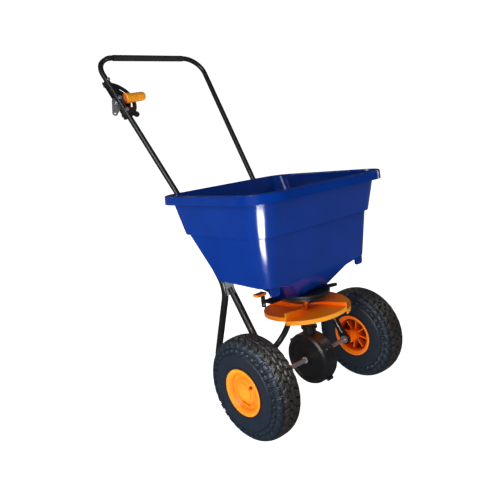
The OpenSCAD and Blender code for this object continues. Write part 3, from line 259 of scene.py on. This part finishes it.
def make_finishes():
    """Makes the finish of every slot, from the colours and sizes in the panel."""
    colours = bpy.context.scene.spreader_colours
    sizes = bpy.context.scene.spreader_sizes
    # a deep, even blue with a clean gloss, with painted shade that turns it nearly navy inside the
    # hopper
    moulded_plastic("moulded_polypropylene_blue", (*colours.hopper, 1), roughness=0.17, ior=1.49,
                    grain_mm=1.2, grain_height=0.01, spread=0.06, level=0.4,
                    depth=srgb("#001045"))
    # a warm orange with a satin gloss, with painted shade that turns it redder and darker between
    # the ribs and under the vanes
    moulded_plastic("moulded_polypropylene_orange", (*colours.orange, 1), roughness=0.3, ior=1.49,
                    grain_mm=1.2, grain_height=0.01, spread=0.05, level=0.32,
                    depth=srgb("#FF6402"))
    # a near-black satin with a visible mould grain
    moulded_plastic("moulded_nylon_black", (*colours.moulding, 1), roughness=0.36, ior=1.53,
                    grain_mm=0.8, grain_height=0.03, spread=0.15)
    # off-white and smooth, only seen at the edges of the bushes
    moulded_plastic("moulded_acetal_white", srgb("#DCDBD2"), roughness=0.4, ior=1.48,
                    grain_mm=0.8, grain_height=0.01)
    # a dull black with small pores, softer than the tube that it covers
    moulded_plastic("foamed_vinyl_sleeve_black", srgb("#202021"), roughness=0.66, ior=1.5,
                    grain_mm=0.6, grain_height=0.05, spread=0.15)
    # a black gloss with long thin highlights along the tubes
    powder_coat("powder_coated_steel_black", (*colours.tube, 1), sizes.peel_size)
    # a bright grey that picks the bolts and the axle out of the black
    metal("zinc_plated_steel", (*colours.plating, 1))
    # a darker and plainer grey, inside the gearbox
    metal("sintered_gear_steel", srgb("#7E7F84"))
    # blue-black sides and a dusty brown-black tread
    vulcanised_rubber("vulcanised_rubber_tyre", (*colours.rubber, 1), (*colours.tread, 1))


def dress(thing, node):
    """Gives a piece the finish of the CAD node's slot. The first one makes all the finishes."""
    finish = FINISH_OF[SLOT_OF[node]]
    if finish not in bpy.data.materials:
        make_finishes()
    thing.data.materials.clear()
    thing.data.materials.append(bpy.data.materials[finish])


def new_object(name, mesh):
    """Puts a mesh in the scene under a name that the mesh takes too."""
    mesh.name = name
    thing = bpy.data.objects.new(name, mesh)
    bpy.context.scene.collection.objects.link(thing)
    return thing


def stand_in(piece, name):
    """Lets a piece take the CAD node's place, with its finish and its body."""
    dress(piece, name)
    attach(piece, BODY_OF[name])
    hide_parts(name)


def dress_all(*nodes):
    """Dresses CAD pieces as they are, and ends an operator."""
    for node in nodes:
        dress(frame["nodes"][node], node)
    return {"FINISHED"}


# ---------------------------------------------------------------- rims
# The arched slot in the rim's outer face, in millimetres from the wheel's middle.
SLOT_DROP = 38.0        # from the axle down to the foot of the arch
SLOT_OUTER = 14.5       # radius of the arch's outer edge
SLOT_INNER = 4.5        # radius of its inner edge
SLOT_FROM = 24.5        # the ribs end here, outward from the wheel's middle plane
SLOT_REACH = 40.0       # from there out past the face
SLOT_ARC = 12           # steps round the arch


def slot_cutter(centre, out):
    """A closed arch that stands where the slot goes through. It lies along x, outward."""
    arch = [(r * math.cos(math.pi * k / SLOT_ARC), r * math.sin(math.pi * k / SLOT_ARC) - SLOT_DROP)
            for r, steps in ((SLOT_OUTER, range(SLOT_ARC + 1)),
                             (SLOT_INNER, range(SLOT_ARC, -1, -1)))
            for k in steps]
    count = len(arch)
    work = bmesh.new()
    start = [work.verts.new((centre.x + SLOT_FROM * out, centre.y + y * MM, centre.z + z * MM))
             for y, z in arch]
    end = [work.verts.new(v.co + Vector((SLOT_REACH * out, 0, 0))) for v in start]
    for i in range(count):
        work.faces.new((start[i], start[(i + 1) % count], end[(i + 1) % count], end[i]))
    for ring in (start, end):
        for i in range(SLOT_ARC):
            work.faces.new((ring[i], ring[i + 1], ring[count - 2 - i], ring[count - 1 - i]))
    bmesh.ops.recalc_face_normals(work, faces=work.faces)
    mesh = bpy.data.meshes.new("slot_cutter")
    work.to_mesh(mesh)
    work.free()
    return new_object("slot_cutter", mesh)


def widen_slot(side):
    """Stands a copy in for the rim, with the arched slot at its full width."""
    name = "rim_" + side
    low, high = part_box("tyre_" + side)
    cutter = slot_cutter((Vector(low) + Vector(high)) / 2, -MM if side == "left" else MM)
    piece = new_object(name + "_slotted", frame["nodes"][name].data.copy())
    cut = piece.modifiers.new("slot", "BOOLEAN")
    cut.operation, cut.solver, cut.object = "DIFFERENCE", "EXACT", cutter
    bpy.context.view_layer.update()
    depsgraph = bpy.context.evaluated_depsgraph_get()
    solid = bpy.data.meshes.new_from_object(piece.evaluated_get(depsgraph))
    piece.modifiers.clear()
    piece.data = solid
    solid.name = name + "_slotted"
    bpy.data.objects.remove(cutter)
    stand_in(piece, name)


class SPREADER_OT_wheels(bpy.types.Operator):
    """Makes the rims with their slots, and dresses the hub caps"""
    bl_idname = "spreader.wheels"
    bl_label = "Wheels"

    def execute(self, context):
        for side in ("left", "right"):
            widen_slot(side)
        return dress_all("hub_cap_left", "hub_cap_right")


# ---------------------------------------------------------------- tyres
# Lengths here are in millimetres. "Distance" is the distance round the section from the middle of
# the crown, and places round the tyre are in pitches, from one block of a row to the next.
# Half of the section over the tops of the blocks, from the middle of the crown round to the bead:
# distance across from the wheel's middle plane, and radius.
SECTION = ((0, 134), (10, 133.7), (20, 132), (29, 127.6), (35.5, 120.5), (39.6, 111), (41.6, 100),
           (42, 90), (41.3, 80), (39.6, 71), (38.4, 66), (37.6, 62.5), (36.6, 58), (35, 53.5))
SECTION_STEPS = 12              # fine points between two of these
# Rows of blocks on one half: start, end, groove depth, how far the row is turned.
ROWS = ((1.4, 9.6, 5.0, 0.0), (12.2, 25.4, 5.4, 0.5))
EDGE = 1.1                      # width of the sloped edge of a block or a frame
CHANNEL_DEPTH = 3.4             # of the grooves that run round between the rows
# How far the tread's lines are turned at a distance: each row leans the other way.
LEAN = ((0, 0), (11, 0.25), (27, -0.08), (44, 0))
FRAMES = (28.4, 62.0, 3.2)      # the row of framed pads on the shoulder: start, end, depth
# The two pads in a frame: start and end of the top, and where its side stands from the frame.
PADS = ((31.4, 47.5, 0.14), (51.0, 60.0, 0.2))
PAD_EDGE = 1.0                  # width of a pad's sloped end
GROOVE_HALF = 0.08              # half the width of a cross groove's floor
GROOVE_EDGE = 0.06              # width of its sloped side
# Places round one pitch where the mesh has a line: the middles and edges of grooves and pads.
PITCH_STEPS = (0, 0.08, 0.14, 0.2, 0.26, 0.36, 0.42, 0.5, 0.58, 0.64, 0.74, 0.8, 0.86, 0.92)
RINGS = (67.0, 70.5, 74.0)      # distances of the fine moulded rings on the side
RING_HALF = 0.8                 # half a ring's width at its foot
RING_H = 0.5                    # its height
BEAD_GAP, BEAD_LINES = 3, 8     # lines from a little past the last ring to the bead
# What the rubber's attribute says, the tread's colour and the painted shade of the grooves:
TREAD_FADE = (24, 32)           # the tread's colour ends between these distances
# a groove this deep gets the darkest painted shade
DARKEST_GROOVE_DEPTH = 4.5                # a groove this deep is as dark as it gets


def ramp(value, start, end):
    """0 before start, 1 after end, and a straight line between."""
    return min(1.0, max(0.0, (value - start) / (end - start)))


def plateau(value, start, end, edge):
    """1 from start to end, with a slope outside each of them that is one edge wide."""
    return ramp(value, start - edge, start) * ramp(-value, -end - edge, -end)


def look_up(table, value):
    """The rest of a row of the table, whose first column is value, by straight lines."""
    for a, b in zip(table, table[1:]):
        if value <= b[0]:
            t = (value - a[0]) / (b[0] - a[0])
            return [a[i] + (b[i] - a[i]) * t for i in range(1, len(a))]
    return list(table[-1][1:])


def smooth_section():
    """Fine points along the section: distance, across, radius, and the outward direction's two."""
    ends = [(-SECTION[1][0], SECTION[1][1]), *SECTION, SECTION[-1]]
    points = []
    for i in range(1, len(ends) - 2):
        p0, p1, p2, p3 = (Vector(e) for e in ends[i - 1:i + 3])
        for k in range(SECTION_STEPS):
            t = k / SECTION_STEPS
            points.append(0.5 * (2 * p1 + (p2 - p0) * t + (2 * p0 - 5 * p1 + 4 * p2 - p3) * t * t
                                 + (3 * p1 - p0 - 3 * p2 + p3) * t ** 3))
    points.append(Vector(SECTION[-1]))
    out, distance = [], 0.0
    for i, point in enumerate(points):
        if i:
            distance += (point - points[i - 1]).length
        along = (points[min(i + 1, len(points) - 1)] - points[max(i - 1, 0)]).normalized()
        out.append((distance, point.x, point.y, -along.y, along.x))
    return out


def row_lines(last):
    """Distances at which the mesh has a line, up to the last: dense at rows, pads and rings."""
    lines = {0.0}
    for start, end, *_ in (*ROWS, FRAMES):
        lines.update((start - EDGE, start, (start * 2 + end) / 3, (start + end * 2) / 3, end,
                      end + EDGE))
    for start, end, _ in PADS:
        lines.update((start - PAD_EDGE, start, end, end + PAD_EDGE))
    for ring in RINGS:
        lines.update((ring - RING_HALF, ring, ring + RING_HALF))
    to_bead = (last - RINGS[-1] - BEAD_GAP) / BEAD_LINES
    lines.update(last - k * to_bead for k in range(BEAD_LINES + 1))
    return sorted(lines)


def tread_depth(distance, place, half):
    """Depth below the tops of the blocks at a place round the pitch. The halves are staggered."""
    for start, end, depth, turned in ROWS:
        if start - EDGE < distance < end + EDGE:
            offset = abs((place - turned - half * 0.5 + 0.5) % 1 - 0.5)
            block = ramp(offset, GROOVE_HALF, GROOVE_HALF + GROOVE_EDGE)
            return depth * (1 - plateau(distance, start, end, EDGE) * block)
    start, end, depth = FRAMES
    if distance < start - EDGE:
        return CHANNEL_DEPTH
    if distance < end + EDGE:
        offset = abs((place + half * 0.5 + 0.5) % 1 - 0.5)
        top = 1 - ramp(offset, GROOVE_HALF / 2, GROOVE_HALF)
        for pad_start, pad_end, side in PADS:
            top = max(top, plateau(distance, pad_start, pad_end, PAD_EDGE)
                      * ramp(offset, side, side + GROOVE_EDGE))
        return depth * (1 - top) * plateau(distance, start, end, EDGE)
    return 0.0 if any(abs(distance - ring) < 0.1 for ring in RINGS) else RING_H


def make_tyre(name, blocks):
    """A closed tyre in the place of the CAD node: blocks, framed pads and rings as geometry."""
    low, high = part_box(name)
    centre = (Vector(low) + Vector(high)) / 2
    section = smooth_section()
    lines = row_lines(section[-1][0])
    rings = [(d, 0, -1) for d in reversed(lines[1:])] + [(d, 1, 1) for d in lines]
    points, shades = [], []
    for distance, half, sign in rings:
        across, radius, nx, nr = look_up(section, distance)
        lean = look_up(LEAN, distance)[0]
        tread = 1 - ramp(distance, *TREAD_FADE)
        for block in range(blocks):
            for place in PITCH_STEPS:
                depth = tread_depth(distance, place, half)
                angle = (block + place + lean) * 2 * math.pi / blocks
                r = (radius - depth * nr) * MM
                x = (across - depth * nx) * sign * MM
                points.append((centre.x + x, centre.y + r * math.sin(angle),
                               centre.z + r * math.cos(angle)))
                # the attribute's second share is painted shade, darker the deeper the groove
                shades.append((tread, min(1, depth / DARKEST_GROOVE_DEPTH), 0, 1))
    steps, rows = blocks * len(PITCH_STEPS), len(rings)
    faces = []
    for i in range(rows):
        j = (i + 1) % rows
        for k in range(steps):
            n = (k + 1) % steps
            faces.append((i * steps + k, i * steps + n, j * steps + n, j * steps + k))
    mesh = bpy.data.meshes.new(name + "_moulded")
    mesh.from_pydata(points, [], faces)
    paint = mesh.color_attributes.new(name="tread", type="FLOAT_COLOR", domain="POINT")
    for i, shade in enumerate(shades):
        paint.data[i].color = shade
    work = bmesh.new()
    work.from_mesh(mesh)
    bmesh.ops.recalc_face_normals(work, faces=work.faces)
    work.to_mesh(mesh)
    work.free()
    mesh.shade_smooth()
    stand_in(new_object(name + "_moulded", mesh), name)


class SPREADER_OT_tyres(bpy.types.Operator):
    """Makes both tyres with their moulded tread"""
    bl_idname = "spreader.tyres"
    bl_label = "Tyres"

    def execute(self, context):
        for name in ("tyre_left", "tyre_right"):
            make_tyre(name, context.scene.spreader_sizes.tread_blocks)
        return {"FINISHED"}


# ---------------------------------------------------------------- CAD pieces
WELD = 0.002 * MM                   # corners closer than this are one
SLIVER = 0.005 * MM                 # shorter edges go
FLAT = math.radians(0.6)            # faces that differ by less are one panel
SHARP = math.radians(32)            # edges that turn by more are rounded


def soften(name, edge_mm):
    """Stands a copy in for a CAD node, with its edges rounded as a mould leaves them."""
    mesh = frame["nodes"][name].data.copy()
    work = bmesh.new()
    work.from_mesh(mesh)
    bmesh.ops.remove_doubles(work, verts=work.verts, dist=WELD)
    bmesh.ops.dissolve_degenerate(work, edges=work.edges, dist=SLIVER)
    bmesh.ops.dissolve_limit(work, angle_limit=FLAT, verts=work.verts, edges=work.edges)
    for face in work.faces:
        face.smooth = True
    work.to_mesh(mesh)
    work.free()
    piece = new_object(name + "_soft_edged", mesh)
    bevel = piece.modifiers.new("rounded_edges", "BEVEL")
    bevel.width = edge_mm * MM
    bevel.segments = 2
    bevel.limit_method = "ANGLE"
    bevel.angle_limit = SHARP
    bevel.use_clamp_overlap = True
    bevel.harden_normals = True
    # a panel mirrors flat, and only its corners bend the reflection
    flat = piece.modifiers.new("flat_panels", "WEIGHTED_NORMAL")
    flat.weight = 100
    flat.keep_sharp = True
    stand_in(piece, name)


class SPREADER_OT_axle(bpy.types.Operator):
    """Dresses the axle, its pins, its collars and the gears"""
    bl_idname = "spreader.axle"
    bl_label = "Axle and gears"

    def execute(self, context):
        return dress_all("axle", "drive_pin", "split_pin", "wheel_washer", "axle_collars",
                         "axle_gear", "gear_pin", "pinion")


class SPREADER_OT_frame(bpy.types.Operator):
    """Dresses the frame tubes, struts and brackets"""
    bl_idname = "spreader.frame"
    bl_label = "Frame"

    def execute(self, context):
        return dress_all("rear_frame", "axle_strut_left", "axle_strut_right", "axle_bushes",
                         "hopper_brackets")


class SPREADER_OT_handle(bpy.types.Operator):
    """Dresses the handle, its sleeve and its bolts"""
    bl_idname = "spreader.handle"
    bl_label = "Handle"

    def execute(self, context):
        return dress_all("handle", "crossbar_sleeve", "handle_bolts")


class SPREADER_OT_hopper(bpy.types.Operator):
    """Rounds the hopper's edges, and dresses it and its fixings"""
    bl_idname = "spreader.hopper"
    bl_label = "Hopper"

    def execute(self, context):
        soften("hopper", edge_mm=0.9)
        return dress_all("hopper_spacers", "hopper_bolts", "hopper_nuts")


class SPREADER_OT_metering(bpy.types.Operator):
    """Dresses the base plate, the gate and the agitator"""
    bl_idname = "spreader.metering"
    bl_label = "Metering"

    def execute(self, context):
        return dress_all("base_plate", "base_plate_screws", "gate_plate", "gate_tab",
                         "floor_bush", "agitator")


class SPREADER_OT_impeller(bpy.types.Operator):
    """Rounds the impeller's edges, and dresses it and its shaft"""
    bl_idname = "spreader.impeller"
    bl_label = "Impeller"

    def execute(self, context):
        soften("impeller", edge_mm=0.5)
        return dress_all("impeller_shaft", "impeller_pin")


class SPREADER_OT_gearbox(bpy.types.Operator):
    """Dresses the gearbox"""
    bl_idname = "spreader.gearbox"
    bl_label = "Gearbox"

    def execute(self, context):
        return dress_all("gearbox_left", "gearbox_right", "gearbox_screws", "gearbox_bushes",
                         "neck_bush")


class SPREADER_OT_lever(bpy.types.Operator):
    """Dresses the control lever and its quadrant"""
    bl_idname = "spreader.lever"
    bl_label = "Control lever"

    def execute(self, context):
        return dress_all("lever_quadrant", "quadrant_bolts", "control_lever", "lever_grip",
                         "lever_pivot_bolt")


# ---------------------------------------------------------------- studio
# Places and sizes here are in metres.
FLOOR_HALF = 12.0
# Greys of the dim room, from straight down (0) to straight up (1), with its bright band low down.
ROOM = ((0.0, "#1C1C1E"), (0.26, "#3A3A3C"), (0.38, "#78797C"), (0.46, "#2A2A2C"),
        (0.56, "#38393B"), (0.66, "#48494B"), (1.0, "#3C3E40"))
BACKDROP = 1.1                              # strength of the white behind it all
CORNER = Vector((-0.215, -0.3, 0.53))       # the hopper's near corner
# Lamps: name, place, what it faces, width, height, watts, and whether it gives light to the
# surfaces or only its own reflection in them.
LAMPS = (
    ("side_light", (-2.2, -0.8, 0.9), MIDDLE, 1.6, 1.4, 34, "light"),
    ("front_light", (0.8, -2.6, 0.8), MIDDLE, 1.6, 1.2, 1, "light"),
    ("top_light", (-0.3, -1.3, 2.7), MIDDLE, 1.2, 1.2, 15, "light"),
    ("back_light", (0.6, 2.4, 1.6), MIDDLE, 1.4, 1.2, 16, "light"),
    ("window", (-0.41, -0.52, 0.41), CORNER, 0.17, 0.09, 2.6, "reflection"),
    ("left_strip", (-2.0, -0.4, 1.9), MIDDLE, 0.6, 1.6, 26, "reflection"),
    ("right_strip", (2.0, -0.6, 1.2), MIDDLE, 0.2, 1.4, 6, "reflection"),
    ("back_strip", (0.4, 2.2, 1.8), MIDDLE, 0.3, 1.4, 14, "reflection"),
)
CAMERA_PLACE = (-1.0209, -1.1444, 0.8921)
CAMERA_FORWARD = Vector((0.6453, 0.6920, -0.3236))
SENSOR_MM = 36


def turn_towards(thing, direction):
    """Points a lamp or a camera along a direction, upright."""
    thing.rotation_euler = direction.to_track_quat("-Z", "Y").to_euler()


def make_floor(scene):
    """A translucent white table lit from below, so shadows on it stay faint."""
    mesh = bpy.data.meshes.new("studio_floor")
    mesh.from_pydata([(x * FLOOR_HALF, y * FLOOR_HALF, 0)
                      for x, y in ((-1, -1), (1, -1), (1, 1), (-1, 1))], [], [(0, 1, 2, 3)])
    floor = new_object("studio_floor", mesh)
    table, tree, _ = new_material("lit_acrylic_table_white")
    skin = add_node(tree, "ShaderNodeBsdfPrincipled",
                    Base_Color=(*scene.spreader_colours.floor, 1), Roughness=0.9,
                    Specular_IOR_Level=0.1, Emission_Color=srgb("#FFFFFF"), Emission_Strength=1.0)
    add_node(tree, "ShaderNodeOutputMaterial", Surface=(skin, "BSDF"))
    mesh.materials.append(table)
    floor.visible_glossy = False


def make_room(scene):
    """A dim room with a bright band, behind a plain white backdrop."""
    world = bpy.data.worlds.new("studio_white")
    scene.world = world
    world.use_nodes = True
    tree = world.node_tree
    tree.nodes.clear()
    place = add_node(tree, "ShaderNodeTexCoord")
    axes = add_node(tree, "ShaderNodeSeparateXYZ", Vector=(place, "Generated"))
    height = add_node(tree, "ShaderNodeMapRange", Value=(axes, "Z"), From_Min=-1.0, From_Max=1.0)
    room = add_node(tree, "ShaderNodeValToRGB", Fac=(height, "Result"))
    set_stops(room, [(position, srgb(grey)) for position, grey in ROOM])
    dim = add_node(tree, "ShaderNodeBackground", Color=(room, "Color"), Strength=1.0)
    white = add_node(tree, "ShaderNodeBackground", Color=srgb("#FFFFFF"), Strength=BACKDROP)
    ray = add_node(tree, "ShaderNodeLightPath")
    mix = add_node(tree, "ShaderNodeMixShader", Fac=(ray, "Is Camera Ray"),
                   _1=(dim, "Background"), _2=(white, "Background"))
    add_node(tree, "ShaderNodeOutputWorld", Surface=(mix, "Shader"))


def make_lamp(name, place, target, width, height, watts, gives):
    """A rectangular soft lamp that faces the target."""
    lamp = bpy.data.lights.new(name, "AREA")
    lamp.shape = "RECTANGLE"
    lamp.size, lamp.size_y = width, height
    lamp.energy = watts
    thing = bpy.data.objects.new(name, lamp)
    thing.location = place
    turn_towards(thing, target - Vector(place))
    thing.visible_camera = False
    thing.visible_glossy = gives == "reflection"
    thing.visible_diffuse = gives == "light"
    bpy.context.scene.collection.objects.link(thing)


def make_camera(scene):
    """The camera, ahead of the machine and to its left, at the height of the handle."""
    lens = bpy.data.cameras.new("camera")
    lens.lens = scene.spreader_sizes.lens
    lens.sensor_width = SENSOR_MM
    camera = bpy.data.objects.new("camera", lens)
    camera.location = CAMERA_PLACE
    turn_towards(camera, CAMERA_FORWARD)
    scene.collection.objects.link(camera)
    scene.camera = camera
    scene.view_settings.view_transform = "Standard"


class SPREADER_OT_stage(bpy.types.Operator):
    """Makes the studio: floor, lights and camera"""
    bl_idname = "spreader.stage"
    bl_label = "Studio"

    def execute(self, context):
        make_floor(context.scene)
        make_room(context.scene)
        for lamp in LAMPS:
            make_lamp(*lamp)
        make_camera(context.scene)
        return {"FINISHED"}


# ---------------------------------------------------------------- add-on
OPERATORS = (
    SPREADER_OT_stage, SPREADER_OT_wheels, SPREADER_OT_tyres, SPREADER_OT_axle,
    SPREADER_OT_frame, SPREADER_OT_handle, SPREADER_OT_hopper, SPREADER_OT_metering,
    SPREADER_OT_impeller, SPREADER_OT_gearbox, SPREADER_OT_lever,
)


class SPREADER_PT_pieces(bpy.types.Panel):
    """Lists the spreader's pieces"""
    bl_idname = "SPREADER_PT_pieces"
    bl_label = "Broadcast spreader"
    bl_space_type = "VIEW_3D"
    bl_region_type = "UI"
    bl_category = "Spreader"

    def draw(self, context):
        for operator in OPERATORS:
            self.layout.operator(operator.bl_idname)
        for group in (context.scene.spreader_colours, context.scene.spreader_sizes):
            for key in group.bl_rna.properties.keys():
                if key not in ("rna_type", "name"):
                    self.layout.prop(group, key)


CLASSES = (SpreaderColours, SpreaderSizes, *OPERATORS, SPREADER_PT_pieces)


def register():
    for cls in CLASSES:
        bpy.utils.register_class(cls)
    bpy.types.Scene.spreader_colours = PointerProperty(type=SpreaderColours)
    bpy.types.Scene.spreader_sizes = PointerProperty(type=SpreaderSizes)


def unregister():
    del bpy.types.Scene.spreader_sizes
    del bpy.types.Scene.spreader_colours
    for cls in reversed(CLASSES):
        bpy.utils.unregister_class(cls)


def main():
    register()
    for operator in OPERATORS:
        group, name = operator.bl_idname.split(".")
        getattr(getattr(bpy.ops, group), name)()


if __name__ == "__main__":
    main()
